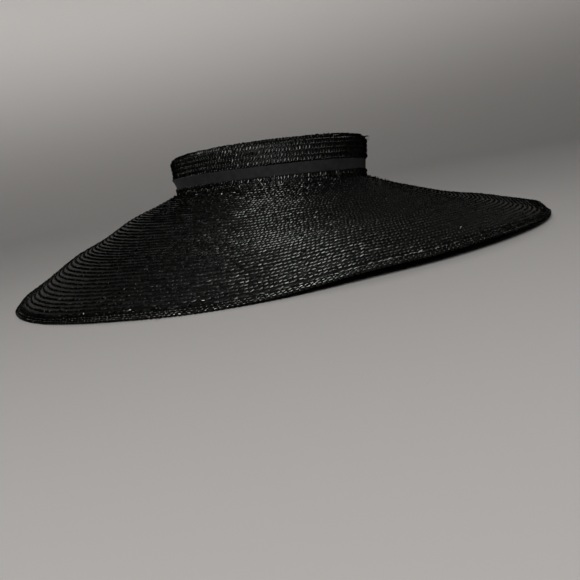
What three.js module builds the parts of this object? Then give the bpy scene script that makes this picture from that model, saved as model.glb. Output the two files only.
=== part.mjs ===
// Wide brim straw hat: a low flat-topped crown, a deep drooping brim, a ribbon band and a corded rim.
// Millimetres, +Z up. The hat stands on its rim, and the wearer's front is towards -Y.
import * as THREE from "three";

// Driving dimensions
const crownWidth = 168.5; // over the straw at the crown's foot, side to side
const crownLength = 194.5; // over the straw at the crown's foot, front to back
const crownHeight = 33.1; // from the crown's foot to its flat tip, at the middle
const crownFlare = 3.3; // how much further out the wall stands at the tip than at the foot
const tipCorner = 6.8; // radius of the turned edge between wall and tip
const strawThickness = 2; // sewn straw braid
const braidWidth = 3.9; // one row of braid on the crown's wall
const rowBulge = 0.8; // how far a row rounds out between its seams
const frontTall = 0.073; // share by which the wall is taller at the wearer's front, and lower at the back
const sideTall = 0.023; // share by which it is taller at the wearer's left, and lower at the right
const brimWidth = 152; // from the crown's foot to the rim, seen from above
const brimDrop = 64.7; // from the crown's foot down to the rim
const leanSide = 5.3; // degrees that the crown leans to the wearer's left, +X
const leanBack = 0.6; // degrees that the crown leans to the back, +Y
const crownShiftX = 4.4; // where the middle of the crown's foot lies over the rim's oval
const crownShiftY = -1.4;
const ribbonWidth = 9.4; // height of the ribbon on the wall
const ribbonThickness = 1;
const ribbonRise = 5.1; // from the crown's foot to the ribbon's lower edge
const ribbonRecess = 2; // how far the wall steps back behind the ribbon
const edgeWidth = 5; // the corded edge of the rim, seen from above
const edgeThickness = 3.6;
const clearance = 0.3; // between pieces that touch
const stations = 80; // sections round the hat
const brimSpans = 12; // faces from crown to rim

// Lifts of the rim: each raises an arc about a middle angle, by a share of brimDrop
const rimLifts = [
  { middle: -141, halfArc: 22, rise: 0.023 },
  { middle: -98, halfArc: 15, rise: 0.031 },
  { middle: -79, halfArc: 52, rise: 0.105 },
  { middle: -24, halfArc: 11, rise: 0.065 },
  { middle: 45, halfArc: 30, rise: 0.05 },
  { middle: 107, halfArc: 24, rise: 0.045 },
  { middle: 154, halfArc: 16, rise: 0.073 },
];
const liftFade = 1.5; // how fast a lift dies away towards the crown

// How the brim bends between crown and rim at four angles, as shares of brimWidth
const brimBends = [
  { angle: -110, belly: -0.001, lip: 0.014, ripple: 0.005 },
  { angle: -20, belly: -0.026, lip: 0.028, ripple: 0.003 },
  { angle: 70, belly: 0.012, lip: 0.014, ripple: 0.005 },
  { angle: 160, belly: 0.036, lip: 0, ripple: 0.007 },
];
const rippleWaves = 2.5; // soft waves between crown and rim
const rippleCrest = 0.67; // share of the brim where one of them is highest

// How far the ribbon's upper edge stands off the wall at four angles, as shares of ribbonWidth
const ribbonStands = [
  { angle: -110, stand: 0.02 },
  { angle: -20, stand: 0 },
  { angle: 70, stand: 0.04 },
  { angle: 160, stand: 0.3 },
];

const strawMaterial = new THREE.MeshStandardMaterial({ color: 0x141416, roughness: 0.35, metalness: 0 });
const edgeMaterial = new THREE.MeshStandardMaterial({ color: 0x1a1a1c, roughness: 0.3, metalness: 0 });
const ribbonMaterial = new THREE.MeshStandardMaterial({ color: 0x1e1e21, roughness: 0.85, metalness: 0 });

const angles = Array.from({ length: stations }, (_, index) => (index * 360) / stations);
const radians = THREE.MathUtils.degToRad;
const lerp = THREE.MathUtils.lerp;

// A table's value at any angle, easing from each row to the next one round the hat
function roundTable(rows, column, angle) {
  const last = rows.length - 1;
  for (let index = 0; index <= last; index += 1) {
    const here = rows[index];
    const next = rows[index === last ? 0 : index + 1];
    const reach = (next.angle - here.angle + 360) % 360;
    const past = (angle - here.angle + 720) % 360;
    if (past < reach) {
      const ease = (1 - Math.cos((Math.PI * past) / reach)) / 2;
      return lerp(here[column], next[column], ease);
    }
  }
  return rows[0][column];
}

function ovalPoint(halfWidth, halfLength, angle) {
  const cos = Math.cos(radians(angle));
  const sin = Math.sin(radians(angle));
  const radius = 1 / Math.hypot(cos / halfWidth, sin / halfLength);
  return new THREE.Vector3(radius * cos, radius * sin, 0);
}

// A point of the crown in the crown's own upright frame, out from the oval of its foot
function crownPoint(angle, out, up) {
  const point = ovalPoint(crownWidth / 2 + out, crownLength / 2 + out, angle);
  const towardsLeft = point.x / (crownWidth / 2);
  const towardsFront = -point.y / (crownLength / 2);
  return point.setZ(up * (1 + sideTall * towardsLeft + frontTall * towardsFront));
}

// The crown leans on the brim, so its pieces share one tilted group
const crownGroup = new THREE.Group();
crownGroup.position.set(crownShiftX, crownShiftY, brimDrop);
crownGroup.rotation.set(radians(-leanBack), radians(leanSide), 0);
crownGroup.updateMatrixWorld();

function rimLift(angle) {
  return rimLifts.reduce((total, { middle, halfArc, rise }) => {
    const away = Math.abs(((angle - middle + 540) % 360) - 180);
    if (away >= halfArc) return total;
    return total + (rise * brimDrop * (1 + Math.cos((Math.PI * away) / halfArc))) / 2;
  }, 0);
}

// The brim's middle surface: share runs from 0 at the crown's foot to 1 at the rim
function brimSurface(share, angle) {
  const slant = strawThickness / 4; // room for the lower corner of the sloping inner edge
  const foot = crownPoint(angle, clearance + slant, -strawThickness / 2).applyMatrix4(crownGroup.matrixWorld);
  const rim = ovalPoint(crownWidth / 2 + brimWidth, crownLength / 2 + brimWidth, angle);
  const rest = 1 - share;
  const belly = roundTable(brimBends, "belly", angle) * brimWidth * 4 * share * rest;
  const lip = roundTable(brimBends, "lip", angle) * brimWidth * 6.75 * share ** 3 * rest;
  const wave = Math.cos(2 * Math.PI * rippleWaves * (share - rippleCrest));
  const ripple = roundTable(brimBends, "ripple", angle) * brimWidth * 4 * share * rest * wave;
  const rimHeight = (edgeThickness / 2) * share + rimLift(angle) * share ** liftFade;
  return new THREE.Vector3(
    lerp(foot.x, rim.x, share),
    lerp(foot.y, rim.y, share),
    foot.z * rest + rimHeight + belly + lip + ripple,
  );
}

// The outward slope and the upward normal of the brim at a place
function brimDirections(share, angle) {
  const step = 0.01;
  const from = Math.max(0, share - step);
  const inner = brimSurface(from, angle);
  const slope = brimSurface(from + step, angle).sub(inner);
  const length = slope.length() / step;
  const outward = slope.normalize();
  const around = brimSurface(from, angle + step).sub(inner).normalize();
  const normal = outward.clone().cross(around).normalize();
  return { outward, normal, length };
}

function brimPoint(share, angle, side) {
  const { normal } = brimDirections(share, angle);
  return brimSurface(share, angle).addScaledVector(normal, (side * strawThickness) / 2);
}

// Share of the brim at which the straw stops and the corded edge starts
function brimEnd(angle) {
  return 1 - (edgeWidth + clearance) / brimDirections(1, angle).length;
}

// Skin between rings of points, each ring one station round the hat after another.
// Rings run anticlockwise round the section, seen with the outside of the hat to the right.
function skin(rings, { closed, firstPole, lastPole }) {
  const points = rings.flat();
  const faces = [];
  const at = (ring, station) => ring * stations + (station % stations);
  const ringCount = rings.length;
  const spans = closed ? ringCount : ringCount - 1;
  for (let ring = 0; ring < spans; ring += 1) {
    const next = (ring + 1) % ringCount;
    for (let station = 0; station < stations; station += 1) {
      faces.push(at(ring, station), at(ring, station + 1), at(next, station + 1));
      faces.push(at(ring, station), at(next, station + 1), at(next, station));
    }
  }
  if (!closed) {
    const first = points.push(firstPole) - 1;
    const last = points.push(lastPole) - 1;
    for (let station = 0; station < stations; station += 1) {
      faces.push(first, at(0, station + 1), at(0, station));
      faces.push(at(ringCount - 1, station), at(ringCount - 1, station + 1), last);
    }
  }
  const geometry = new THREE.BufferGeometry().setFromPoints(points);
  geometry.setIndex(faces);
  geometry.computeVertexNormals();
  return geometry;
}

function piece(name, geometry, material) {
  const mesh = new THREE.Mesh(geometry, material);
  mesh.name = name;
  return mesh;
}

// Where the straight wall would stand at a height, before rows and recess
const wallOut = (up) => (crownFlare * up) / crownHeight;
const ribbonTop = ribbonRise + ribbonWidth;

// The crown's outside from its lower edge up to the flat tip
function crownOutside() {
  const outline = [
    { out: 0, up: -strawThickness },
    { out: 0, up: 0 },
    { out: wallOut(ribbonRise / 2) + rowBulge, up: ribbonRise / 2 },
    { out: wallOut(ribbonRise), up: ribbonRise },
    { out: wallOut(ribbonRise) - ribbonRecess, up: ribbonRise },
    { out: wallOut(ribbonTop) - ribbonRecess, up: ribbonTop },
    { out: wallOut(ribbonTop), up: ribbonTop },
  ];
  const cornerStart = crownHeight - tipCorner;
  const rows = Math.max(1, Math.round((cornerStart - ribbonTop) / braidWidth));
  const pitch = (cornerStart - ribbonTop) / rows;
  for (let row = 0; row < rows; row += 1) {
    const seam = ribbonTop + pitch * row;
    outline.push({ out: wallOut(seam) + rowBulge, up: seam + pitch / 2 });
    outline.push({ out: wallOut(seam), up: seam + pitch });
  }
  for (const turn of [25, 48, 70, 90]) {
    const inward = tipCorner * (1 - Math.cos(radians(turn)));
    const up = cornerStart + tipCorner * Math.sin(radians(turn));
    outline.push({ out: wallOut(up) - inward, up });
  }
  return outline;
}

// The crown's inside from the flat underside of the tip down to its lower edge
function crownInside() {
  const ceiling = crownHeight - strawThickness;
  const wall = (up, step = 0) => ({ out: wallOut(up) - step - strawThickness, up });
  return [
    { out: wallOut(ceiling) - tipCorner, up: ceiling },
    wall(crownHeight - tipCorner),
    wall(ribbonTop + strawThickness),
    wall(ribbonTop, ribbonRecess),
    wall(ribbonRise, ribbonRecess),
    { out: -strawThickness, up: 0 },
    { out: -strawThickness, up: -strawThickness },
  ];
}

function makeCrown() {
  const outline = [...crownInside(), ...crownOutside()];
  const rings = outline.map(({ out, up }) => angles.map((angle) => crownPoint(angle, out, up)));
  const poles = {
    firstPole: new THREE.Vector3(0, 0, crownHeight - strawThickness),
    lastPole: new THREE.Vector3(0, 0, crownHeight),
  };
  return piece("crown", skin(rings, { closed: false, ...poles }), strawMaterial);
}

function makeRibbon() {
  const heights = [0, 0.5, 1];
  const ring = (height, layer) => angles.map((angle) => {
    const up = lerp(ribbonRise + clearance, ribbonTop - clearance, height);
    const stand = roundTable(ribbonStands, "stand", angle) * ribbonWidth * height ** 2;
    return crownPoint(angle, wallOut(up) - ribbonRecess + clearance + stand + layer, up);
  });
  const outer = heights.map((height) => ring(height, ribbonThickness));
  const inner = heights.map((height) => ring(height, 0)).reverse();
  return piece("ribbon_band", skin([...outer, ...inner], { closed: true }), ribbonMaterial);
}

function makeBrim() {
  const shares = Array.from({ length: brimSpans + 1 }, (_, index) => index / brimSpans);
  const ring = (share, side) => angles.map((angle) => brimPoint(share * brimEnd(angle), angle, side));
  const lower = shares.map((share) => ring(share, -1));
  const upper = shares.map((share) => ring(share, 1)).reverse();
  return piece("brim", skin([...lower, ...upper], { closed: true }), strawMaterial);
}

// A cord of eight-sided section that runs on from the straw's edge
function makeRimEdge() {
  const sides = 8;
  const rings = Array.from({ length: sides }, (_, side) => {
    const turn = radians(((side + 0.5) * 360) / sides);
    const reach = Math.cos(Math.PI / sides);
    const out = (edgeWidth / 2) * (1 + Math.cos(turn) / reach);
    const up = ((edgeThickness / 2) * Math.sin(turn)) / reach;
    return angles.map((angle) => {
      const start = brimEnd(angle);
      const { outward, normal } = brimDirections(start, angle);
      return brimSurface(start, angle)
        .addScaledVector(outward, clearance + out)
        .addScaledVector(normal, up);
    });
  });
  return piece("rim_edge", skin(rings, { closed: true }), edgeMaterial);
}

crownGroup.add(makeCrown(), makeRibbon());
const hat = new THREE.Group();
hat.add(crownGroup, makeBrim(), makeRimEdge());

// The rim's lowest point lies on the ground
hat.updateMatrixWorld();
hat.position.z = -new THREE.Box3().setFromObject(hat, true).min.z;
hat.updateMatrixWorld();

export default hat;
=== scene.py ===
import math
import bpy
import numpy as np
from mathutils import Matrix, Vector


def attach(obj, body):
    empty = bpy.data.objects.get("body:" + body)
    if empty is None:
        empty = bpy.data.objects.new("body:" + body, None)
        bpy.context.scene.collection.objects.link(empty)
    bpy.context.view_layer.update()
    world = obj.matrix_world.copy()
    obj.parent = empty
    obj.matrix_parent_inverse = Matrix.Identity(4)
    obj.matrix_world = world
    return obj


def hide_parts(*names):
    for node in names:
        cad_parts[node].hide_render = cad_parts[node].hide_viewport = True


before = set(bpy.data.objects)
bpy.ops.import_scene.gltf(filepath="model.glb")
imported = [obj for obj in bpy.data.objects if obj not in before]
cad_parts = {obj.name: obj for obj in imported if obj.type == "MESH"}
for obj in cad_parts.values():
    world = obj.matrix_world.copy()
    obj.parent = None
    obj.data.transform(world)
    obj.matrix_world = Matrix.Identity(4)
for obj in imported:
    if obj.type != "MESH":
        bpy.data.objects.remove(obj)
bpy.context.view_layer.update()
bpy.ops.object.select_all(action="DESELECT")
mm = 0.001
print("frame loaded, nodes:", sorted(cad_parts))

# Where the photograph was taken from: degrees, and metres from the middle of the hat
photoView = {
    "distance": 0.742,
    "height": 0.0858,
    "turn": 20,
    "pan": 0.29,
    "tilt": -9.19,
    "roll": -10.82,
    "lens": 50.05,
    "frame": 36,  # mm across
    "nearest": 0.01,
}


# Turns a place given from the camera's side to where it lies round the hat
def fromCamera(position):
    return Matrix.Rotation(-math.radians(photoView["turn"]), 3, "Z") @ Vector(position)


def makeCamera():
    pan, tilt, roll = (math.radians(photoView[key]) for key in ("pan", "tilt", "roll"))
    ahead = Vector((math.sin(pan) * math.cos(tilt), math.cos(pan) * math.cos(tilt), math.sin(tilt)))
    level = Vector((math.cos(pan), -math.sin(pan), 0))
    above = level.cross(ahead)
    right = math.cos(roll) * level + math.sin(roll) * above
    upward = math.cos(roll) * above - math.sin(roll) * level
    bpy.ops.object.camera_add()
    camera = bpy.context.object
    camera.name = "photoCamera"
    camera.data.lens = photoView["lens"]
    camera.data.sensor_width = photoView["frame"]
    camera.data.clip_start = photoView["nearest"]
    axes = Matrix([fromCamera(way) for way in (right, upward, -ahead)]).transposed()
    camera.matrix_world = axes.to_4x4()
    camera.location = fromCamera((0, -photoView["distance"], photoView["height"]))
    bpy.context.scene.camera = camera


makeCamera()
print("camera placed")

# The hat's own sizes, as in the solids that it stands on
strawHat = {
    "crownWidth": 168.5 * mm,
    "crownLength": 194.5 * mm,
    "crownHeight": 33.1 * mm,
    "crownFlare": 3.3 * mm,
    "tipCorner": 6.8 * mm,
    "strawThickness": 2 * mm,
    "frontTall": 0.073,  # how much taller the crown is there, as a share
    "sideTall": 0.023,
    "brimWidth": 152 * mm,
    "brimDrop": 64.7 * mm,
    "leanSide": 5.3,  # how the crown leans, in degrees
    "leanBack": 0.6,
    "crownShift": (4.4 * mm, -1.4 * mm),
    "edgeWidth": 5 * mm,
    "edgeThickness": 3.6 * mm,
    "clearance": 0.3 * mm,
    "settle": -0.8 * mm,  # puts the lowest point of the rim on the ground
    "liftFade": 1.5,  # the power by which the rim's rises fade towards the crown
    "bellyScale": 4,
    "lipScale": 6.75,
    "lipPower": 3,
    "rippleWaves": 2.5,
    "rippleCrest": 0.67,
}
ribbonPlace = {
    "width": 9.4 * mm,
    "thickness": 1 * mm,
    "rise": 5.1 * mm,
    "recess": 2 * mm,
}
rimLifts = [  # middle angle, half arc, rise as a share of the brim's drop
    (-141, 22, 0.023),
    (-98, 15, 0.031),
    (-79, 52, 0.105),
    (-24, 11, 0.065),
    (45, 30, 0.05),
    (107, 24, 0.045),
    (154, 16, 0.073),
]
brimBends = [  # angle, then belly, lip and ripple as shares of the brim's width
    (-110, -0.001, 0.014, 0.005),
    (-20, -0.026, 0.028, 0.003),
    (70, 0.012, 0.014, 0.005),
    (160, 0.036, 0, 0.007),
]
ribbonStands = [  # angle, and how far the upper edge stands off as a share of the ribbon's width
    (-110, 0.02),
    (-20, 0),
    (70, 0.04),
    (160, 0.3),
]


def roundTable(rows, column, angle):
    value = np.zeros_like(angle, dtype=float)
    for index, here in enumerate(rows):
        following = rows[(index + 1) % len(rows)]
        reach = (following[0] - here[0] + 360) % 360
        past = (angle - here[0] + 720) % 360
        ease = (1 - np.cos(np.pi * past / reach)) / 2
        between = here[column] + (following[column] - here[column]) * ease
        value = np.where(past < reach, between, value)
    return value


def ovalPoint(halfWidth, halfLength, angle):
    cos, sin = np.cos(np.radians(angle)), np.sin(np.radians(angle))
    radius = 1 / np.hypot(cos / halfWidth, sin / halfLength)
    return radius * cos, radius * sin


def crownPoint(angle, out, up):
    halfWidth, halfLength = strawHat["crownWidth"] / 2, strawHat["crownLength"] / 2
    x, y = ovalPoint(halfWidth + out, halfLength + out, angle)
    tall = 1 + strawHat["sideTall"] * x / halfWidth - strawHat["frontTall"] * y / halfLength
    return np.stack([x, y, up * tall], axis=-1)


def crownToHat(points):
    tip = Matrix.Rotation(math.radians(-strawHat["leanBack"]), 3, "X")
    lean = Matrix.Rotation(math.radians(strawHat["leanSide"]), 3, "Y")
    shiftX, shiftY = strawHat["crownShift"]
    place = np.array([shiftX, shiftY, strawHat["brimDrop"] + strawHat["settle"]])
    return points @ np.array(tip @ lean).T + place


# Degrees between two ways round the hat, measured the short way
def degreesApart(angle, middle):
    return np.abs((angle - middle + 540) % 360 - 180)


# 1 in the middle of an arc, falling softly to 0 at its ends
def softArc(angle, middle, halfArc):
    away = np.minimum(degreesApart(angle, middle), halfArc)
    return (1 + np.cos(np.pi * away / halfArc)) / 2


def rimLift(angle):
    total = np.zeros_like(angle, dtype=float)
    for middle, halfArc, rise in rimLifts:
        total += rise * strawHat["brimDrop"] * softArc(angle, middle, halfArc)
    return total


# How far the crown's wall leans out at a height
def flareAt(up):
    return strawHat["crownFlare"] * up / strawHat["crownHeight"]


# The brim's middle surface: share runs from 0 at the crown's foot to 1 at the rim
def brimSurface(share, angle):
    thickness, wide = strawHat["strawThickness"], strawHat["brimWidth"]
    foot = crownToHat(crownPoint(angle, strawHat["clearance"] + thickness / 4, -thickness / 2))
    halfWidth, halfLength = strawHat["crownWidth"] / 2 + wide, strawHat["crownLength"] / 2 + wide
    rimX, rimY = ovalPoint(halfWidth, halfLength, angle)
    rest = 1 - share
    hump = wide * strawHat["bellyScale"] * share * rest
    belly = roundTable(brimBends, 1, angle) * hump
    lipShape = wide * strawHat["lipScale"] * share ** strawHat["lipPower"] * rest
    lip = roundTable(brimBends, 2, angle) * lipShape
    wave = np.cos(2 * np.pi * strawHat["rippleWaves"] * (share - strawHat["rippleCrest"]))
    ripple = roundTable(brimBends, 3, angle) * hump * wave
    rimHeight = strawHat["edgeThickness"] / 2 * share + rimLift(angle) * share ** strawHat["liftFade"]
    rimHeight += strawHat["settle"] * share
    x, y = foot[..., 0] * rest + rimX * share, foot[..., 1] * rest + rimY * share
    height = foot[..., 2] * rest + rimHeight + belly + lip + ripple
    return np.stack([x, y, height], axis=-1)


def unit(vectors):
    return vectors / np.linalg.norm(vectors, axis=-1, keepdims=True)


# Where a place on the brim is, with the ways round the hat, out to the rim and up from the straw
def brimPlace(share, angle):
    step = 0.01
    share = share + np.zeros_like(angle, dtype=float)
    start = np.maximum(0, share - step)
    inner = brimSurface(start, angle)
    slope = brimSurface(start + step, angle) - inner
    outward = unit(slope)
    around = unit(brimSurface(start, angle + step) - inner)
    normal = unit(np.cross(outward, around))
    return brimSurface(share, angle), around, outward, normal, np.linalg.norm(slope, axis=-1) / step


def brimEnd(angle):
    length = brimPlace(1.0, angle)[4]
    return 1 - (strawHat["edgeWidth"] + strawHat["clearance"]) / length


# The crown's outside as one line: up the wall from the foot, round the turned edge and in to the middle
def crownOutline(run):
    corner = strawHat["tipCorner"]
    cornerStart = strawHat["crownHeight"] - corner
    turn = np.clip((run - cornerStart) / corner, 0, math.pi / 2)
    up = np.minimum(run, cornerStart) + corner * np.sin(turn)
    inward = np.maximum(0, run - cornerStart - corner * math.pi / 2)
    out = flareAt(up) - corner * (1 - np.cos(turn)) - inward
    return out, up


def crownPlace(run, angle):
    step, turnStep = 0.2 * mm, 0.05
    run = run + np.zeros_like(angle, dtype=float)
    here = crownToHat(crownPoint(angle, *crownOutline(run)))
    outward = unit(crownToHat(crownPoint(angle, *crownOutline(run - step))) - here)
    around = unit(crownToHat(crownPoint(angle + turnStep, *crownOutline(run))) - here)
    return here, around, outward, unit(np.cross(outward, around))


# Each row of braid is a rounded ridge: 0 between two rows and 1 at the middle of one
def rowRidge(rows):
    return 1 - (2 * (rows % 1) - 1) ** 2


def newMaterial(name, colour, roughness):
    material = bpy.data.materials.new(name)
    material.use_nodes = True
    shader = material.node_tree.nodes["Principled BSDF"]
    shader.inputs["Base Color"].default_value = colour
    shader.inputs["Roughness"].default_value = roughness
    return material, material.node_tree.nodes, material.node_tree.links, shader


def addNode(nodes, kind, **settings):
    node = nodes.new(kind)
    for key, value in settings.items():
        if key in node.inputs:
            node.inputs[key].default_value = value
        else:
            setattr(node, key, value)
    return node


# Colours a finish by a pattern, between the two colours of its dictionary
def addColours(material, pattern, darkest, palest, start=0, end=1):
    nodes, links = material.node_tree.nodes, material.node_tree.links
    colour = addNode(nodes, "ShaderNodeValToRGB")
    low, high = colour.color_ramp.elements
    low.color = darkest
    high.color = palest
    low.position = start
    high.position = end
    links.new(pattern, colour.inputs["Fac"])
    links.new(colour.outputs["Color"], nodes["Principled BSDF"].inputs["Base Color"])
    return colour.color_ramp


def addRelief(material, pattern, strength, depth):
    nodes, links = material.node_tree.nodes, material.node_tree.links
    bump = addNode(nodes, "ShaderNodeBump", Strength=strength, Distance=depth)
    links.new(pattern, bump.inputs["Height"])
    links.new(bump.outputs["Normal"], nodes["Principled BSDF"].inputs["Normal"])


# Black lacquered straw: each lobe has its own depth of black and its own polish, with fine fibres along it
lacquer = {
    "darkest": (0.0075, 0.0079, 0.0072, 1),
    "palest": (0.027, 0.0285, 0.0259, 1),
    "polishLow": 0.25,
    "polishHigh": 0.39,
    "grazing": (0.06, 0.06, 0.06, 1),
    "fibreStretch": (1.5, 9, 1),
    "fibreShade": 0.35,
    "fibreStrength": 0.35,
    "fibreDepth": 0.1 * mm,
}


def makeLacquer():
    material, nodes, links, shader = newMaterial("lacqueredStraw", lacquer["darkest"], lacquer["polishHigh"])
    shader.inputs["Metallic"].default_value = 1
    shader.inputs["Specular Tint"].default_value = lacquer["grazing"]
    shade = addNode(nodes, "ShaderNodeAttribute", attribute_name="strawShade")
    polish = addNode(nodes, "ShaderNodeAttribute", attribute_name="strawPolish")
    fibreWay = addNode(nodes, "ShaderNodeUVMap", uv_map="fibreWay")
    stretch = addNode(nodes, "ShaderNodeMapping", Scale=lacquer["fibreStretch"])
    fibres = addNode(nodes, "ShaderNodeTexNoise", Scale=1.0, Detail=3.0)
    links.new(fibreWay.outputs["UV"], stretch.inputs["Vector"])
    links.new(stretch.outputs["Vector"], fibres.inputs["Vector"])
    streak = addNode(nodes, "ShaderNodeMath", operation="MULTIPLY_ADD")
    streak.inputs[1].default_value = lacquer["fibreShade"]
    links.new(fibres.outputs["Fac"], streak.inputs[0])
    links.new(shade.outputs["Fac"], streak.inputs[2])
    addColours(material, streak.outputs["Value"], lacquer["darkest"], lacquer["palest"])
    gloss = addNode(nodes, "ShaderNodeMapRange", clamp=False)
    gloss.inputs["To Min"].default_value = lacquer["polishHigh"]
    gloss.inputs["To Max"].default_value = lacquer["polishLow"]
    links.new(polish.outputs["Fac"], gloss.inputs["Value"])
    links.new(gloss.outputs["Result"], shader.inputs["Roughness"])
    addRelief(material, fibres.outputs["Fac"], lacquer["fibreStrength"], lacquer["fibreDepth"])
    return material


# The straw beneath the lobes and inside the hat, where the rows show as ridges
# Black straw, but far darker and duller than the lobes' straw: partly its own colour, partly painted shade in
# the gaps between the lobes and between the rows
strawBackPaintedShade = {
    "darkest": (0.0001, 0.0001, 0.0001, 1),
    "palest": (0.0007, 0.0007, 0.0006, 1),
    "roughness": 0.5,
    "shine": 0.08,
    "weaveScale": 420.0,
    "weaveStrength": 0.5,
    "weaveDepth": 0.4 * mm,
    "speckleScale": 900.0,
}


def makeStrawBack():
    material, nodes, links, shader = newMaterial("strawBackPaintedShade", strawBackPaintedShade["palest"], strawBackPaintedShade["roughness"])
    shader.inputs["Specular IOR Level"].default_value = strawBackPaintedShade["shine"]
    place = addNode(nodes, "ShaderNodeTexCoord")
    weave = addNode(nodes, "ShaderNodeTexVoronoi", Scale=strawBackPaintedShade["weaveScale"])
    speckle = addNode(nodes, "ShaderNodeTexNoise", Scale=strawBackPaintedShade["speckleScale"], Detail=4.0)
    links.new(place.outputs["Object"], weave.inputs["Vector"])
    links.new(place.outputs["Object"], speckle.inputs["Vector"])
    addColours(material, speckle.outputs["Fac"], strawBackPaintedShade["darkest"], strawBackPaintedShade["palest"])
    addRelief(material, weave.outputs["Distance"], strawBackPaintedShade["weaveStrength"], strawBackPaintedShade["weaveDepth"])
    return material


# Matte ribbed ribbon, a little paler where it is worn
grosgrain = {
    "colour": (0.0019, 0.0019, 0.0020, 1),
    "worn": (0.0057, 0.0056, 0.0058, 1),
    "wornFrom": 0.3,
    "wornTo": 0.75,
    "wornScale": 240.0,
    "roughness": 0.82,
    "shine": 0.1,
    "sheen": 0.01,
    "sheenRoughness": 0.5,
    "threadScale": 2600.0,
    "threadStrength": 0.7,
    "threadDepth": 0.12 * mm,
}


def makeGrosgrain():
    material, nodes, links, shader = newMaterial("grosgrain", grosgrain["colour"], grosgrain["roughness"])
    shader.inputs["Specular IOR Level"].default_value = grosgrain["shine"]
    shader.inputs["Sheen Weight"].default_value = grosgrain["sheen"]
    shader.inputs["Sheen Roughness"].default_value = grosgrain["sheenRoughness"]
    place = addNode(nodes, "ShaderNodeTexCoord")
    cloudy = addNode(nodes, "ShaderNodeTexNoise", Scale=grosgrain["wornScale"], Detail=5.0)
    thread = addNode(nodes, "ShaderNodeTexNoise", Scale=grosgrain["threadScale"], Detail=2.0)
    links.new(place.outputs["Object"], cloudy.inputs["Vector"])
    links.new(place.outputs["Object"], thread.inputs["Vector"])
    colours, reach = (grosgrain["colour"], grosgrain["worn"]), (grosgrain["wornFrom"], grosgrain["wornTo"])
    addColours(material, cloudy.outputs["Fac"], *colours, *reach)
    addRelief(material, thread.outputs["Fac"], grosgrain["threadStrength"], grosgrain["threadDepth"])
    return material


strawFinish = makeLacquer()
backFinish = makeStrawBack()
ribbonFinish = makeGrosgrain()
print("materials made")


# A flat grid wrapped round the hat: pointAt takes the shares of the way across it and round the hat
def wrapBand(name, columns, spans, pointAt, material, merged=0.004 * mm):
    bpy.ops.object.select_all(action="DESELECT")
    bpy.ops.mesh.primitive_grid_add(x_subdivisions=columns, y_subdivisions=spans, size=2)
    band = bpy.context.object
    band.name = name
    band.data.name = name
    flat = np.zeros(len(band.data.vertices) * 3)
    band.data.vertices.foreach_get("co", flat)
    flat = flat.reshape(-1, 3)
    placed = pointAt((flat[:, 1] + 1) / 2, (flat[:, 0] + 1) / 2)
    band.data.vertices.foreach_set("co", placed.ravel())
    bpy.ops.object.mode_set(mode="EDIT")
    bpy.ops.mesh.select_all(action="SELECT")
    bpy.ops.mesh.remove_doubles(threshold=merged)
    bpy.ops.mesh.normals_make_consistent(inside=False)
    bpy.ops.object.mode_set(mode="OBJECT")
    bpy.ops.object.shade_smooth()
    band.data.materials.append(material)
    return band


# Two lobes of straw, each modelled once: a plump one with a short ridge, and a low one tucked between them
plumpLobe = {
    "sides": 6,
    "shoulder": 0.55,  # height of the shoulder as a share of the lobe's height
    "shoulderReach": (0.88, 0.8),  # its length and width as shares of the lobe's
    "ridge": 0.5,  # length of the ridge as a share of the lobe's
    "square": 0.75,  # below 1 its corners are fuller
    "bow": 0.05,  # how much its sides curve along it
    "twist": 27,  # degrees that its strands turn across it
    "lap": 0.5,  # how much higher its outer side stands than its inner side
}
tuckedLobe = {
    "sides": 6,
    "shoulder": 0,
    "shoulderReach": (1, 1),
    "ridge": 0,
    "square": 0.9,
    "bow": 0.5,
    "twist": 0,
    "lap": 0,
}
lobeShine = {  # how far its shading turns towards its ends and its sides, and how flat it is on top
    "endPower": 5,
    "side": 1.9,
    "top": 0.12,
}


def modelLobe(form):
    bpy.ops.object.select_all(action="DESELECT")
    bpy.ops.mesh.primitive_circle_add(vertices=form["sides"], radius=0.5, fill_type="NGON")
    lobe = bpy.context.object
    lobe.rotation_euler.z = math.pi / 2
    bpy.ops.object.transform_apply(location=False, rotation=True, scale=False)
    bpy.ops.object.mode_set(mode="EDIT")
    bpy.ops.mesh.select_all(action="SELECT")
    reachLong, reachShort = form["shoulderReach"]
    if form["shoulder"]:
        bpy.ops.mesh.extrude_region_move(TRANSFORM_OT_translate={"value": (0, 0, form["shoulder"])})
        bpy.ops.transform.resize(value=(reachLong, reachShort, 1))
    bpy.ops.mesh.extrude_region_move(TRANSFORM_OT_translate={"value": (0, 0, 1 - form["shoulder"])})
    bpy.ops.transform.resize(value=(form["ridge"] / reachLong, 0, 1))
    bpy.ops.mesh.select_all(action="SELECT")
    bpy.ops.mesh.remove_doubles(threshold=0.01)
    bpy.ops.mesh.quads_convert_to_tris()
    bpy.ops.mesh.normals_make_consistent(inside=False)
    bpy.ops.object.mode_set(mode="OBJECT")
    points = np.array([vertex.co[:] for vertex in lobe.data.vertices])
    faces = np.array([face.vertices[:] for face in lobe.data.polygons])
    reach = np.hypot(points[:, 0], points[:, 1])[:, None]
    ways = points[:, :2] / np.maximum(reach, 1e-6)
    points[:, :2] = np.sign(ways) * np.abs(ways) ** form["square"] * reach
    x, y, z = points.T
    twist = math.radians(form["twist"])
    along = 2 * x * form["bow"] + (2 * x) ** lobeShine["endPower"]
    across = lobeShine["side"] * y
    lengthways = along * math.cos(twist) + across * math.sin(twist)
    sideways = across * math.cos(twist) - along * math.sin(twist)
    normals = unit(np.stack([lengthways, sideways, lobeShine["top"] + z], axis=-1))
    points[:, 2] -= form["lap"] * points[:, 1]
    bpy.data.objects.remove(lobe)
    return points, normals, faces


plumpShape = modelLobe(plumpLobe)
tuckedShape = modelLobe(tuckedLobe)
print("straw lobes:", len(plumpShape[2]), "and", len(tuckedShape[2]), "faces")


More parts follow.
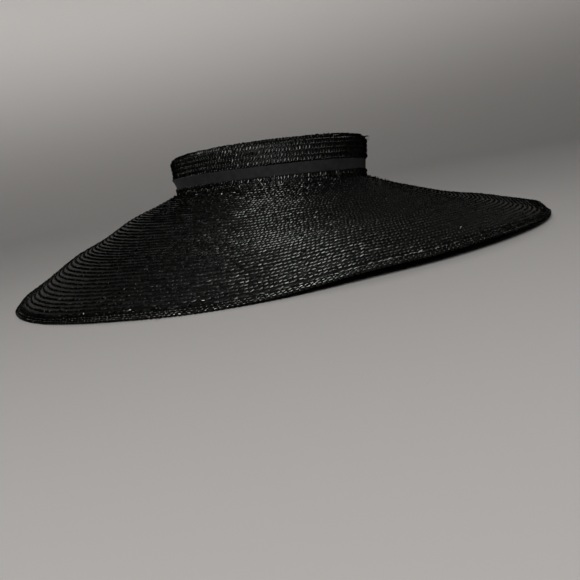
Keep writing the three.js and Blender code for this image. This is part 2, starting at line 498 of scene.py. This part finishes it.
# A soft unevenness round the hat, the same at 0 and 360 degrees
def unevenness(angle, draws, waves=(3, 7, 13, 29), weakest=0.4):
    total = np.zeros_like(angle, dtype=float)
    for wave in waves:
        total += np.sin(np.radians(angle) * wave + draws.uniform(0, 2 * math.pi)) * draws.uniform(weakest, 1)
    return total / len(waves)


def lengthAlong(path):
    return np.concatenate([[0], np.cumsum(np.linalg.norm(np.diff(path, axis=0), axis=1))])


# How the lobes vary: a spread is how far one lobe differs from the next, in degrees for an angle
strawLay = {
    "steps": 1441,  # places round the hat where a row is measured
    "fewest": 6,
    "placeSpread": 0.06,  # as a share of the spacing
    "stray": 0.09 * mm,
    "wander": 0.36 * mm,  # how far a whole row wanders to the side
    "swell": 0.15 * mm,  # how far it rises and falls
    "calmLean": 0.35,  # how much less the lobes of a calm row lean
    "glinting": 0.012,  # share of lobes that glint
    "glintStir": 3.2,  # how much more they are turned
    "nodSpread": 5,
    "rollSpread": 10,
    "sizeSpread": (0.07, 0.08, 0.12),
    "calmShade": 0.35,
    "shadeSpread": 0.13,
    "polish": 0.5,
    "calmPolish": 0.3,
    "polishSpread": 0.18,
    "sheen": 0.12,  # how much the shade and polish change along a row
    "glint": 1.3,
    "brightest": 1.6,
}


# Lays one line of lobes along each row of braid: a row says where it runs, how loose and how
# drawn out it is, how calm its shine is, where it is worn and where its outer edge stands up
def layLobes(rows, line, seed):
    fine = np.linspace(0, 360, strawLay["steps"])
    laid = []
    for index, row in enumerate(rows):
        loose, stretch, calm = row["loose"], row["stretch"], row["calm"]
        rowDraws = np.random.default_rng([seed, index])
        run = lengthAlong(row["place"](fine, 0)[0])
        count = max(strawLay["fewest"], round(run[-1] / line["spacing"] / stretch))
        phase = rowDraws.random()
        wander, swell, sheen = (unevenness(fine, rowDraws) for _ in range(3))
        draws = np.random.default_rng([seed, index, round(line["stagger"] * 10)])
        places = np.arange(count) + phase + line["stagger"]
        places += draws.normal(0, strawLay["placeSpread"] * loose, count)
        angle = np.interp(places % count * run[-1] / count, run, fine)
        stray = draws.normal(0, strawLay["stray"] * loose, count)
        shift = line["across"] + strawLay["wander"] * np.interp(angle, fine, wander) + stray
        point, around, outward, normal = row["place"](angle, shift)[:4]
        lean = line["lean"] * (1 - strawLay["calmLean"] * calm)
        lean = np.radians(draws.normal(lean, line["leanSpread"] * loose, count))[:, None]
        long = np.cos(lean) * around - np.sin(lean) * outward
        short = np.cross(normal, long)
        glinting = draws.random(count) < strawLay["glinting"] + row["worn"](angle)
        stirred = loose * np.where(glinting, strawLay["glintStir"], 1)
        nod = np.radians(draws.normal(line["nod"], strawLay["nodSpread"] * stirred))[:, None]
        roll = draws.normal(line["roll"] + row["stand"](angle), strawLay["rollSpread"] * stirred)
        roll = np.radians(roll)[:, None]
        tipped = unit(long * np.cos(nod) + normal * np.sin(nod))
        top = unit(normal * np.cos(nod) - long * np.sin(nod))
        top = unit(top * np.cos(roll) + short * np.sin(roll))
        short = np.cross(top, tipped)
        size = np.ones((count, 3)) * np.array([line["length"] * stretch, line["width"], line["height"]])
        size[:, :2] *= row["width"]
        size *= 1 + draws.normal(0, 1, (count, 3)) * np.array(strawLay["sizeSpread"]) * loose
        lift = line["lift"] + strawLay["swell"] * np.interp(angle, fine, swell)
        base = point + normal * lift[:, None]
        along = strawLay["sheen"] * np.interp(angle, fine, sheen)
        shade = line["shade"] + strawLay["calmShade"] * calm + along
        shade += strawLay["shadeSpread"] * draws.normal(0, 1, count)
        polish = strawLay["polish"] - strawLay["calmPolish"] * calm + along
        polish += strawLay["polishSpread"] * draws.normal(0, 1, count)
        shade = np.clip(np.where(glinting, strawLay["glint"], shade), 0, strawLay["brightest"])
        polish = np.clip(np.where(glinting, strawLay["glint"], polish), -1, strawLay["brightest"])
        laid.append((base, tipped, short, top, size, shade, polish))
    return [np.concatenate(column) for column in zip(*laid)]


def buildMesh(name, points, faces, material):
    mesh = bpy.data.meshes.new(name)
    mesh.vertices.add(len(points))
    mesh.vertices.foreach_set("co", points.ravel())
    mesh.loops.add(faces.size)
    mesh.loops.foreach_set("vertex_index", faces.ravel())
    mesh.polygons.add(len(faces))
    mesh.polygons.foreach_set("loop_start", np.arange(0, faces.size, faces.shape[1]))
    mesh.polygons.foreach_set("use_smooth", np.ones(len(faces), dtype=bool))
    mesh.update(calc_edges=True)
    mesh.materials.append(material)
    piece = bpy.data.objects.new(name, mesh)
    bpy.context.collection.objects.link(piece)
    return piece


def storeOnPoints(piece, label, values):
    layer = piece.data.attributes.new(label, "FLOAT", "POINT")
    layer.data.foreach_set("value", values)


# Joins a lobe for each place into one mesh, with the lobe's shade, polish and fibres kept on it
def joinLobes(name, laid, shape, material, seed):
    base, tipped, short, top, size, shade, polish = laid
    lobePoints, lobeNormals, lobeFaces = shape
    local = lobePoints[None] * size[:, None]
    points = base[:, None] + local[..., :1] * tipped[:, None] + local[..., 1:2] * short[:, None]
    points += local[..., 2:] * top[:, None]
    faces = (lobeFaces[None] + np.arange(len(base))[:, None, None] * len(lobePoints)).reshape(-1, 3)
    piece = buildMesh(name, points.reshape(-1, 3), faces, material)
    storeOnPoints(piece, "strawShade", np.repeat(shade, len(lobePoints)))
    storeOnPoints(piece, "strawPolish", np.repeat(polish, len(lobePoints)))
    draws = np.random.default_rng(seed)
    fibre = lobePoints[None, :, :2] + draws.uniform(0, 50, (len(base), 1, 2))
    layer = piece.data.uv_layers.new(name="fibreWay")
    layer.data.foreach_set("uv", fibre.reshape(-1, 2)[faces.ravel()].ravel())
    normals = lobeNormals[None, :, :1] * tipped[:, None] + lobeNormals[None, :, 1:2] * short[:, None]
    normals += lobeNormals[None, :, 2:] * top[:, None]
    piece.data.normals_split_custom_set_from_vertices(normals.reshape(-1, 3).tolist())
    return piece


def finishPiece(piece, slotName, *nodes):
    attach(piece, "root")
    if nodes:
        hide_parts(*nodes)
    triangles = len(piece.data.loops) - 2 * len(piece.data.polygons)
    print(piece.name, triangles, "triangles")


# The brim: rows of sewn braid that run round it, each lapping over the next one out, on a thin
# body of straw
brimRows = {
    "count": 41,
    "seed": 5,
    "uneven": 0.09,  # how much the rows differ in width
    "growth": 0.12,  # how much wider the rows by the rim are
    "growthFrom": -3.5,  # the rows widen where a line from here to the next value runs from 0 to 1
    "growthTo": 3,
    "usual": 4.1 * mm,  # the width that the lobes are sized for
    "drawnFrom": 0.45,  # from here to the next share the rows get drawn out and calm
    "drawnTo": 0.8,
    "drawn": 0.12,
    "footReach": 0.16,  # the rows by the crown are looser
    "footLoose": 1.4,
    "rimFrom": 0.74,  # and so are those by the rim
    "rimLoose": 0.6,
}
brimPlump = {
    "spacing": 2.9 * mm,
    "stagger": 0,
    "across": 0,
    "lean": 28,
    "leanSpread": 5,
    "length": 4.1 * mm,
    "width": 1.9 * mm,
    "height": 1.25 * mm,
    "nod": 0,
    "roll": 4,
    "lift": 0,
    "shade": 0.4,
}
brimLast = {  # the row beside the rim's cord is a flat one
    **brimPlump,
    "lean": 14,
    "length": 5.4 * mm,
    "width": 3.4 * mm,
    "height": 0.8 * mm,
    "lift": 0.2 * mm,
    "shade": 0.7,
}
brimWorn = [  # share from the crown to the rim, angle, the reach of each, share of lobes that glint there
    (0.99, -138, 0.035, 26, 0.3),
    (0.98, -75, 0.05, 22, 0.12),
    (0.62, 178, 0.3, 30, 0.03),
    (0.8, -62, 0.2, 25, 0.05),
]
brimStand = {  # where the rows' outer edges stand up most, in degrees
    "middle": -18,
    "arc": 42,
    "roll": 15,
}
brimBody = {
    "columns": 320,
    "topSpans": 24,
    "underSpansPerRow": 3,
    "turnSpans": 2,
    "topLift": 0.4 * mm,
    "underLift": -0.75 * mm,
    "ridge": 0.35 * mm,
    "rounding": 0.2 * mm,
}
brimPieces = (  # first row, the row after its last, and seed
    ("brimBraidInner", 0, 18, 11),
    ("brimBraidMiddle", 18, 31, 12),
    ("brimBraidOuter", 31, 41, 13),
)
pieceSeed = 100  # added to a piece's seed for its fibres


# The rows from the crown to the rim: the middle of each, and its width, as shares
def rowPlaces():
    draws = np.random.default_rng(brimRows["seed"])
    count = brimRows["count"]
    widths = 1 + draws.uniform(-1, 1, count) * brimRows["uneven"]
    growing = np.linspace(brimRows["growthFrom"], brimRows["growthTo"], count)
    widths += brimRows["growth"] * np.clip(growing, 0, 1)
    edges = np.concatenate([[0], np.cumsum(widths)]) / widths.sum()
    return [((start + end) / 2, end - start) for start, end in zip(edges, edges[1:])]


# One row of the brim: those by the crown and by the rim are looser, and the outer ones drawn out and calmer
def brimRow(middle, width):
    def place(angle, across):
        length = brimPlace(0.5, angle)[4]
        return brimPlace(middle * brimEnd(angle) + across / length, angle)

    def worn(angle):
        total = np.zeros_like(angle)
        for share, turn, reach, arc, added in brimWorn:
            near = max(0, 1 - abs(middle - share) / reach)
            total += added * near * np.maximum(0, 1 - degreesApart(angle, turn) / arc)
        return total

    def stand(angle):
        return brimStand["roll"] * softArc(angle, brimStand["middle"], brimStand["arc"])

    drawn = (middle - brimRows["drawnFrom"]) / (brimRows["drawnTo"] - brimRows["drawnFrom"])
    drawn = min(1, max(0, drawn))
    byFoot = max(0, 1 - middle / brimRows["footReach"])
    byRim = max(0, (middle - brimRows["rimFrom"]) / (1 - brimRows["rimFrom"]))
    length = brimPlace(0.5, np.array([0]))[4][0]
    return {
        "place": place,
        "loose": 1 + brimRows["footLoose"] * byFoot + brimRows["rimLoose"] * byRim,
        "stretch": 1 + brimRows["drawn"] * drawn,
        "calm": drawn,
        "worn": worn,
        "stand": stand,
        "width": width * length / brimRows["usual"],
    }


# The body runs out over the top, round the rim, back beneath in ridges and up at the crown's foot
def makeBrimBody():
    topSpans, turnSpans = brimBody["topSpans"], brimBody["turnSpans"]
    underSpans = brimBody["underSpansPerRow"] * brimRows["count"]
    spans = topSpans + underSpans + 2 * turnSpans
    topLift, underLift = brimBody["topLift"], brimBody["underLift"]

    def pointAt(across, turned):
        place = across * spans
        under = np.clip((place - topSpans - turnSpans) / underSpans, 0, 1)
        onTop = place <= topSpans
        closed = place >= spans - 0.5
        atRim = (place > topSpans) & (place < topSpans + turnSpans)
        atFoot = (place > topSpans + turnSpans + underSpans) & ~closed
        angle = turned * 360
        share = np.where(onTop, place / topSpans, 1 - under) * brimEnd(angle)
        position, _, outward, normal, _ = brimPlace(share, angle)
        ridge = brimBody["ridge"] * rowRidge((1 - under) * brimRows["count"])
        lift = underLift - ridge * ((under > 0) & (under < 1))
        lift = np.where(atRim | atFoot, (topLift + underLift) / 2, lift)
        lift = np.where(onTop | closed, topLift, lift)
        out = brimBody["rounding"] * (1.0 * atRim - 1.0 * atFoot)
        return position + normal * lift[:, None] + outward * out[:, None]

    return wrapBand("brimBody", brimBody["columns"], spans, pointAt, backFinish)


finishPiece(makeBrimBody(), "straw", "brim")
for pieceName, firstRow, endRow, seed in brimPieces:
    rows = [brimRow(*place) for place in rowPlaces()[firstRow:endRow]]
    atRim = endRow == brimRows["count"]
    laid = layLobes(rows[:-1] if atRim else rows, brimPlump, seed)
    if atRim:
        flat = layLobes(rows[-1:], brimLast, seed)
        laid = [np.concatenate(both) for both in zip(laid, flat)]
    finishPiece(joinLobes(pieceName, laid, plumpShape, strawFinish, seed + pieceSeed), "straw")

# The crown: its wall and flat tip in the same braid
crownPlump = {
    "spacing": 2.75 * mm,
    "stagger": 0,
    "across": 0,
    "lean": 76,
    "leanSpread": 7,
    "length": 3.9 * mm,
    "width": 2.2 * mm,
    "height": 1.5 * mm,
    "nod": -7,
    "roll": 0,
    "lift": -0.85 * mm,
    "shade": 0.2,
}
crownTucked = {  # lower, and between the plump ones
    **crownPlump,
    "stagger": 0.5,
    "across": 1.6 * mm,
    "lean": 118,
    "leanSpread": 9,
    "length": 3.0 * mm,
    "width": 1.9 * mm,
    "height": 0.9 * mm,
    "nod": 0,
    "lift": -0.55 * mm,
}
crownRows = {  # how many rows each part has, where the two below the ribbon run, and how loose they are
    "wall": 3,
    "corner": 3,
    "tip": 18,
    "tipHole": 0.25,  # in rows
    "firstRun": 0.1 * mm,
    "belowRibbon": 1.2 * mm,
    "looseBelow": 2.2,
    "looseAbove": 1.5,
    "aboveRibbon": 3 * mm,
}
crownBody = {
    "columns": 220,
    "inset": 0.45 * mm,
    "ridge": 0.3 * mm,
    "step": 0.05 * mm,  # between the wall and the recess
    "footStart": 0.2 * mm,
    "belowCorner": 0.5 * mm,  # where the wall's inside starts
    "footSpans": 4,
    "wallSpans": 23,
    "cornerSpans": 8,
    "insideSpans": 15,
    "insidePitch": 4 * mm,
    "recessSpans": 11,
    "recessPitch": 4.7 * mm,
    "tipRings": 12,
}
ribbonTop = ribbonPlace["rise"] + ribbonPlace["width"]
cornerStart = strawHat["crownHeight"] - strawHat["tipCorner"]
cornerEnd = cornerStart + strawHat["tipCorner"] * math.pi / 2


def crownRow(run):
    def place(angle, across):
        return crownPlace(run - across, angle)

    loose = 1
    if run < ribbonTop:
        loose = crownRows["looseBelow"]
    elif run < ribbonTop + crownRows["aboveRibbon"]:
        loose = crownRows["looseAbove"]
    even = {"stretch": 1, "calm": 0, "width": 1, "worn": np.zeros_like, "stand": np.zeros_like}
    return {"place": place, "loose": loose, **even}


def evenRuns(start, pitch, count):
    return [start + pitch * (index + 0.5) for index in range(count)]


def crownRuns():
    tipReach = strawHat["crownWidth"] / 2 + crownOutline(cornerEnd)[0]
    runs = [crownRows["firstRun"], ribbonPlace["rise"] - crownRows["belowRibbon"]]
    runs += evenRuns(ribbonTop, (cornerStart - ribbonTop) / crownRows["wall"], crownRows["wall"])
    runs += evenRuns(cornerStart, (cornerEnd - cornerStart) / crownRows["corner"], crownRows["corner"])
    runs += evenRuns(cornerEnd, tipReach / (crownRows["tip"] + crownRows["tipHole"]), crownRows["tip"])
    return runs


# The crown's body in section: how far out and how high each of its rings is
def crownOutside(runs, depth):
    out, up = crownOutline(runs)
    turn = np.clip((runs - cornerStart) / strawHat["tipCorner"], 0, math.pi / 2)
    return list(zip(out - depth * np.cos(turn), up - depth * np.sin(turn)))


def crownInside(heights, depth, start, pitch):
    out = flareAt(heights) - depth - crownBody["ridge"] * rowRidge((heights - start) / pitch)
    return list(zip(out, heights))


def makeCrownBody():
    rise, recess, wall = ribbonPlace["rise"], ribbonPlace["recess"], strawHat["strawThickness"]
    inset, step = crownBody["inset"], crownBody["step"]
    foot = np.linspace(crownBody["footStart"], rise - step, crownBody["footSpans"] + 1)
    outside = [(0, -wall), (0, 0)] + crownOutside(foot, inset)
    outside += crownOutside(np.array([rise, ribbonTop]), recess)
    outside += crownOutside(np.linspace(ribbonTop + step, cornerEnd, crownBody["wallSpans"] + 1), inset)
    turn = np.linspace(math.pi / 2, 0, crownBody["cornerSpans"] + 1)
    corner = strawHat["tipCorner"] - wall
    up = cornerStart + corner * np.sin(turn)
    inside = list(zip(flareAt(up) - wall - corner * (1 - np.cos(turn)), up))
    high = cornerStart - crownBody["belowCorner"]
    heights = np.linspace(high, ribbonTop + wall, crownBody["insideSpans"] + 1)
    inside += crownInside(heights, wall, ribbonTop, crownBody["insidePitch"])
    heights = np.linspace(ribbonTop, rise, crownBody["recessSpans"] + 1)
    inside += crownInside(heights, recess + wall, rise, crownBody["recessPitch"])
    inside += [(-wall, 0), (-wall, -wall)]
    tipShares = np.linspace(1, 0, crownBody["tipRings"] + 1)[1:]
    rings = [(*ring, 1) for ring in outside]
    rings += [(*outside[-1], share) for share in tipShares]
    rings += [(*inside[0], share) for share in tipShares[::-1]]
    rings += [(*ring, 1) for ring in inside + outside[:1]]
    rings = np.array(rings)

    def pointAt(across, turned):
        index = np.rint(across * (len(rings) - 1)).astype(int)
        out, up, share = rings[index].T
        ring = crownPoint(turned * 360, out, up)
        middle = np.stack([np.zeros_like(up), np.zeros_like(up), up], axis=-1)
        return crownToHat(middle + (ring - middle) * share[:, None])

    return wrapBand("crownBody", crownBody["columns"], len(rings) - 1, pointAt, backFinish)


finishPiece(makeCrownBody(), "straw", "crown")
crownLines = [crownRow(run) for run in crownRuns()]
for pieceName, line, shape, fibreSeed in (
    ("crownBraid", crownPlump, plumpShape, 121),
    ("crownBraidTucked", crownTucked, tuckedShape, 122),
):
    laid = layLobes(crownLines, line, 21)
    finishPiece(joinLobes(pieceName, laid, shape, strawFinish, fibreSeed), "straw")

# The rim's cord: two twisted cords of straw side by side
rimCord = {
    "columns": 400,
    "sides": 8,
    "thickness": 2.7 * mm,
    "inset": 0.45 * mm,
    "strandInset": 0.55 * mm,
    "lines": 4,
    "spacing": 3.7 * mm,
    "firstTurn": 60,
    "length": 3.9 * mm,
    "width": 1.5 * mm,
    "height": 0.95 * mm,
    "lean": 8,
    "shade": 0.9,
    "polish": 0.95,
    "placeSpread": 0.03,
    "turnSpread": 0.08,
    "leanSpread": 5,
    "sizeSpread": 0.08,
    "shineSpread": 0.25,
}


# A place on one of the two cords, turned round it from its outer side
def rimPlace(out, turn, angle, inset):
    start = brimEnd(angle)
    position, around, outward, normal, _ = brimPlace(start, angle)
    half = rimCord["thickness"] / 2
    cos, sin = np.cos(turn)[..., None], np.sin(turn)[..., None]
    centre = position + outward * (strawHat["clearance"] + out)
    face = outward * cos + normal * sin
    return centre + face * (half - inset), around, normal * -cos + outward * sin, face


def layCordLobes(out, seed):
    draws = np.random.default_rng(seed)
    fine = np.linspace(0, 360, strawLay["steps"])
    laid = []
    run = lengthAlong(rimPlace(out, np.zeros_like(fine), fine, 0)[0])
    count = round(run[-1] / rimCord["spacing"])
    for line in range(rimCord["lines"]):
        ahead = line / rimCord["lines"]
        places = np.arange(count) + ahead + draws.normal(0, rimCord["placeSpread"], count)
        angle = np.interp(places % count * run[-1] / count, run, fine)
        turn = math.radians(rimCord["firstTurn"] + 360 * ahead)
        turn = turn + draws.normal(0, rimCord["turnSpread"], count)
        point, around, outward, normal = rimPlace(out, turn, angle, rimCord["strandInset"])
        lean = np.radians(rimCord["lean"] + draws.normal(0, rimCord["leanSpread"], count))[:, None]
        long = np.cos(lean) * around - np.sin(lean) * outward
        short = np.cross(normal, long)
        size = np.ones((count, 3)) * np.array([rimCord[key] for key in ("length", "width", "height")])
        size *= 1 + draws.normal(0, rimCord["sizeSpread"], (count, 3))
        shade = rimCord["shade"] + rimCord["shineSpread"] * draws.normal(0, 1, count)
        polish = rimCord["polish"] + rimCord["shineSpread"] * draws.normal(0, 1, count)
        shade, polish = (np.clip(values, 0, strawLay["brightest"]) for values in (shade, polish))
        laid.append((point, long, short, normal, size, shade, polish))
    return [np.concatenate(column) for column in zip(*laid)]


half = rimCord["thickness"] / 2
for pieceName, out, seed in (
    ("rimCordInner", half, 31),
    ("rimCordOuter", strawHat["edgeWidth"] - half, 32),
):
    core = wrapBand(
        pieceName + "Core",
        rimCord["columns"],
        rimCord["sides"],
        lambda across, turned: rimPlace(out, across * 2 * np.pi, turned * 360, rimCord["inset"])[0],
        backFinish,
    )
    finishPiece(core, "straw_edge", "rim_edge")
    strands = joinLobes(pieceName, layCordLobes(out, seed), plumpShape, strawFinish, seed + pieceSeed)
    finishPiece(strands, "straw_edge")

# The ribbon: a ribbed band in the recess, without a join, its upper edge standing off a little
ribbonBand = {
    "ribs": 860,
    "ribDepth": 0.14 * mm,
    "edgeRibs": 0.35,  # depth of the ribs at the ribbon's edges, as a share
    "ribRise": 6,  # how fast they deepen from there
    "outerSpans": 8,
    "edgeWaver": 0.3 * mm,
    "lowerWaves": (2, 5, 11, 23),
    "upperWaves": (2, 4, 9, 17),
    "waverSteps": 721,
    "seed": 41,
}


def makeRibbon():
    columns = ribbonBand["ribs"] * 2
    outer = np.linspace(0, 1, ribbonBand["outerSpans"] + 1)
    heights = np.append(outer, [1, 0.5, 0, 0])
    layers = np.append(np.ones_like(outer), [0, 0, 0, 1])
    draws = np.random.default_rng(ribbonBand["seed"])
    fine = np.linspace(0, 360, ribbonBand["waverSteps"])
    lowerWaver = unevenness(fine, draws, ribbonBand["lowerWaves"])
    upperWaver = unevenness(fine, draws, ribbonBand["upperWaves"])

    def pointAt(across, turned):
        index = np.rint(across * (len(heights) - 1)).astype(int)
        height, layer = heights[index], layers[index]
        angle = turned * 360
        low = ribbonPlace["rise"] + strawHat["clearance"]
        high = ribbonTop - strawHat["clearance"]
        low = low + ribbonBand["edgeWaver"] * np.interp(angle, fine, lowerWaver)
        high = high + ribbonBand["edgeWaver"] * np.interp(angle, fine, upperWaver)
        up = low + (high - low) * height
        rib = np.cos(np.pi * np.rint(turned * columns)) * ribbonBand["ribDepth"] / 2
        fading = ribbonBand["ribRise"] * np.minimum(height, 1 - height) + ribbonBand["edgeRibs"]
        stand = roundTable(ribbonStands, 1, angle) * ribbonPlace["width"] * height**2
        out = flareAt(up) - ribbonPlace["recess"] + strawHat["clearance"] + stand
        out = out + layer * (ribbonPlace["thickness"] + rib * np.minimum(1, fading))
        return crownToHat(crownPoint(angle, out, up))

    return wrapBand("ribbonBand", columns, len(heights) - 1, pointAt, ribbonFinish)


finishPiece(makeRibbon(), "ribbon", "ribbon_band")

# Loose ends of straw that stand out here and there, each a thin strand that curls and tapers
strawEnds = {
    "thickness": 0.42 * mm,
    "flatness": 0.45,
    "stations": 7,  # along each strand
    "lift": 0.7 * mm,
    "levelling": 0.7,  # how much of its rise an end loses towards its tip
    "taper": 1.15,
    "shade": 1.1,
    "polish": 0.8,
    # share from the crown to the rim, angle, length in mm, turn from along the row, rise, curl,
    # and thickness as a share of the usual
    "brim": [
        (0.99, -131.5, 5, -20, 12, -70, 1),
        (0.995, -130.8, 4, 35, 25, 40, 1),
        (1.0, -130.2, 6, -55, 5, -50, 1),
        (0.99, -129.4, 4.5, 150, 30, -60, 1),
        (0.985, -128.6, 5, -80, 10, 30, 1),
        (0.97, -134, 4, 30, 35, -40, 1),
        (0.86, 178, 5, 70, 35, -30, 1),
        (0.855, 179.5, 3.5, 130, 40, 20, 1),
        (0.76, 177, 3, 20, 30, 0, 1),
        (0.095, 174, 4, 40, 40, -30, 1),
        (0.07, -97.5, 3.5, 15, 30, -50, 1),
        (0.035, -62, 4, 25, 35, -60, 1),
        (0.045, -40, 2.6, 20, 80, -30, 3.6),
        (0.055, -36, 3, 120, 80, 30, 3),
        (0.065, -33, 3.4, 60, 85, -30, 2),
        (0.1, -34, 2.8, 40, 80, -20, 3.2),
        (0.115, -31, 2.4, 10, 80, -20, 3),
        (0.76, -72, 6, 8, 8, -10, 1),
        (0.96, -79, 5, 5, 12, -20, 1),
        (0.99, -70, 3.5, -70, 10, -30, 1),
        (0.995, -50, 3, -100, 15, 40, 1),
        (0.9, 120, 4, 40, 35, -30, 1),
        (0.6, 60, 4, 10, 30, -20, 1),
        (0.99, 20, 4, -60, 12, -40, 1),
    ],
    "crown": [  # the same, but first mm up the crown's outline
        (31.8, -38, 4.6, -90, 75, 0, 5),
        (31, -41, 4.4, -80, 70, 10, 4),
        (29.5, -35, 3, -60, 75, -20, 3),
        (20, -101.5, 2.5, 80, 25, -20, 1),
        (19, -107.5, 2.5, 60, 30, 30, 1),
        (26, 150, 3.5, 20, 25, -30, 1),
        (17, 40, 3, 130, 25, 20, 1),
    ],
}


def layStrands(places, ends):
    strands = []
    shares = np.linspace(0, 1, strawEnds["stations"])
    for (point, around, outward, normal), (_, _, length, turn, rise, curl, thick) in zip(places, ends):
        heading = np.radians(turn + curl * shares)[:, None]
        climb = np.radians(rise * (1 - strawEnds["levelling"] * shares))[:, None]
        level = np.cos(heading) * around - np.sin(heading) * outward
        way = level * np.cos(climb) + normal * np.sin(climb)
        steps = way * length * mm / (strawEnds["stations"] - 1)
        line = point + normal * strawEnds["lift"] + np.cumsum(steps, axis=0) - steps[0]
        side = unit(np.cross(normal, way))
        half = thick * strawEnds["thickness"] * (strawEnds["taper"] - shares)[:, None] / 2
        low = np.cross(way, side) * half * strawEnds["flatness"]
        strands.append(np.stack([line + side * half, line + low, line - side * half, line - low], axis=1))
    return strands


def makeStrawEnds():
    brimPlaces = [brimPlace(share, np.array([angle]))[:4] for share, angle, *_ in strawEnds["brim"]]
    crownPlaces = [crownPlace(run * mm, np.array([angle])) for run, angle, *_ in strawEnds["crown"]]
    strands = layStrands(brimPlaces + crownPlaces, strawEnds["brim"] + strawEnds["crown"])
    stations = strawEnds["stations"]
    faces = [(0, 2, 1), (0, 3, 2)]
    for station in range(stations - 1):
        for corner in range(4):
            here, beside = station * 4 + corner, station * 4 + (corner + 1) % 4
            faces += [(here, beside, here + 4), (beside, beside + 4, here + 4)]
    last = (stations - 1) * 4
    faces += [(last, last + 1, last + 2), (last, last + 2, last + 3)]
    joined = (np.array(faces)[None] + np.arange(len(strands))[:, None, None] * stations * 4).reshape(-1, 3)
    points = np.concatenate([strand.reshape(-1, 3) for strand in strands])
    piece = buildMesh("strawEnds", points, joined, strawFinish)
    storeOnPoints(piece, "strawShade", np.full(len(points), strawEnds["shade"]))
    storeOnPoints(piece, "strawPolish", np.full(len(points), strawEnds["polish"]))
    piece.data.uv_layers.new(name="fibreWay")
    return piece


finishPiece(makeStrawEnds(), "straw")
print("straw ends laid")

# Plain pale studio: a floor that turns up into a backdrop all round, soft light and a key near the camera
studio = {
    "floorReach": 1.5,
    "floorSides": 96,
    "floorColour": (0.24, 0.231, 0.223, 1),
    "floorRoughness": 0.9,
    "floorShine": 0.1,
    "turnUp": 2.5,
    "turnSteps": 24,
    "topStep": 1.0,
    # the colour high on the backdrop, paler than the floor's: painted light where less light reaches
    "backdropPaintedLight": (0.7, 0.673, 0.65, 1),
    "airColour": (0.80, 0.80, 0.82, 1),
    "airStrength": 0.02,
}
softLights = {  # place, the spot that it faces, size and power
    "keyLight": (fromCamera((-0.32, -2.0, 0.8)), (0, 0, 0.05), (0.84, 0.45), 90),
    "topLight": ((-0.5, -0.9, 2.3), (0, 0.2, 0), (1.4, 1.4), 7),
    "wallLight": ((0, 1.2, 2.6), (0, 3.6, 0.6), (1.6, 1.6), 26),
}
backLight = {  # narrow, so that it falls on the hat and not on the backdrop
    "place": (-0.2, 2.0, 1.8),
    "target": (0, 0, 0.06),
    "power": 24,
    "spread": 16,
    "blend": 0.6,
    "softness": 0.15,
}


def makeFloor():
    bpy.ops.object.select_all(action="DESELECT")
    reach, turnUp = studio["floorReach"], studio["turnUp"]
    bpy.ops.mesh.primitive_circle_add(vertices=studio["floorSides"], radius=reach, fill_type="NGON")
    floor = bpy.context.object
    floor.name = "studioFloor"
    bpy.ops.object.mode_set(mode="EDIT")
    bpy.ops.mesh.select_mode(type="EDGE")
    bpy.ops.mesh.select_all(action="SELECT")
    bpy.ops.mesh.region_to_loop()
    for index in range(studio["turnSteps"]):
        here, there = (math.pi / 2 * step / studio["turnSteps"] for step in (index, index + 1))
        wider = (reach + turnUp * math.sin(there)) / (reach + turnUp * math.sin(here))
        climb = turnUp * (math.cos(here) - math.cos(there))
        bpy.ops.mesh.extrude_edges_move(TRANSFORM_OT_translate={"value": (0, 0, climb)})
        bpy.ops.transform.resize(value=(wider, wider, 1))
    bpy.ops.mesh.extrude_edges_move(TRANSFORM_OT_translate={"value": (0, 0, studio["topStep"])})
    bpy.ops.object.mode_set(mode="OBJECT")
    bpy.ops.object.shade_smooth()
    material, nodes, links, shader = newMaterial("paleFloor", studio["floorColour"], studio["floorRoughness"])
    shader.inputs["Specular IOR Level"].default_value = studio["floorShine"]
    place = addNode(nodes, "ShaderNodeTexCoord")
    split = addNode(nodes, "ShaderNodeSeparateXYZ")
    links.new(place.outputs["Object"], split.inputs["Vector"])
    # Paler with height: painted light on the upper backdrop, where less light reaches it than reaches the
    # floor
    ramp = addColours(material, split.outputs["Z"], studio["floorColour"], studio["backdropPaintedLight"])
    ramp.interpolation = "EASE"
    floor.data.materials.append(material)


def aimLight(light, name, target):
    light.name = name
    light.rotation_mode = "QUATERNION"
    light.rotation_quaternion = (Vector(target) - light.location).to_track_quat("-Z", "Y")
    light.visible_camera = False


def addSoftLight(name, position, target, size, power):
    bpy.ops.object.light_add(type="AREA", location=position)
    light = bpy.context.object
    light.data.shape = "ELLIPSE"
    light.data.size, light.data.size_y = size
    light.data.energy = power
    aimLight(light, name, target)


def addBackLight():
    bpy.ops.object.light_add(type="SPOT", location=fromCamera(backLight["place"]))
    light = bpy.context.object
    light.data.energy = backLight["power"]
    light.data.spot_size = math.radians(backLight["spread"])
    light.data.spot_blend = backLight["blend"]
    light.data.shadow_soft_size = backLight["softness"]
    aimLight(light, "backLight", backLight["target"])


makeFloor()
for lightName, values in softLights.items():
    addSoftLight(lightName, *values)
addBackLight()
world = bpy.data.worlds.new("studioAir")
bpy.context.scene.world = world
world.use_nodes = True
world.node_tree.nodes["Background"].inputs["Color"].default_value = studio["airColour"]
world.node_tree.nodes["Background"].inputs["Strength"].default_value = studio["airStrength"]
bpy.context.scene.view_settings.view_transform = "Standard"
print("studio set")
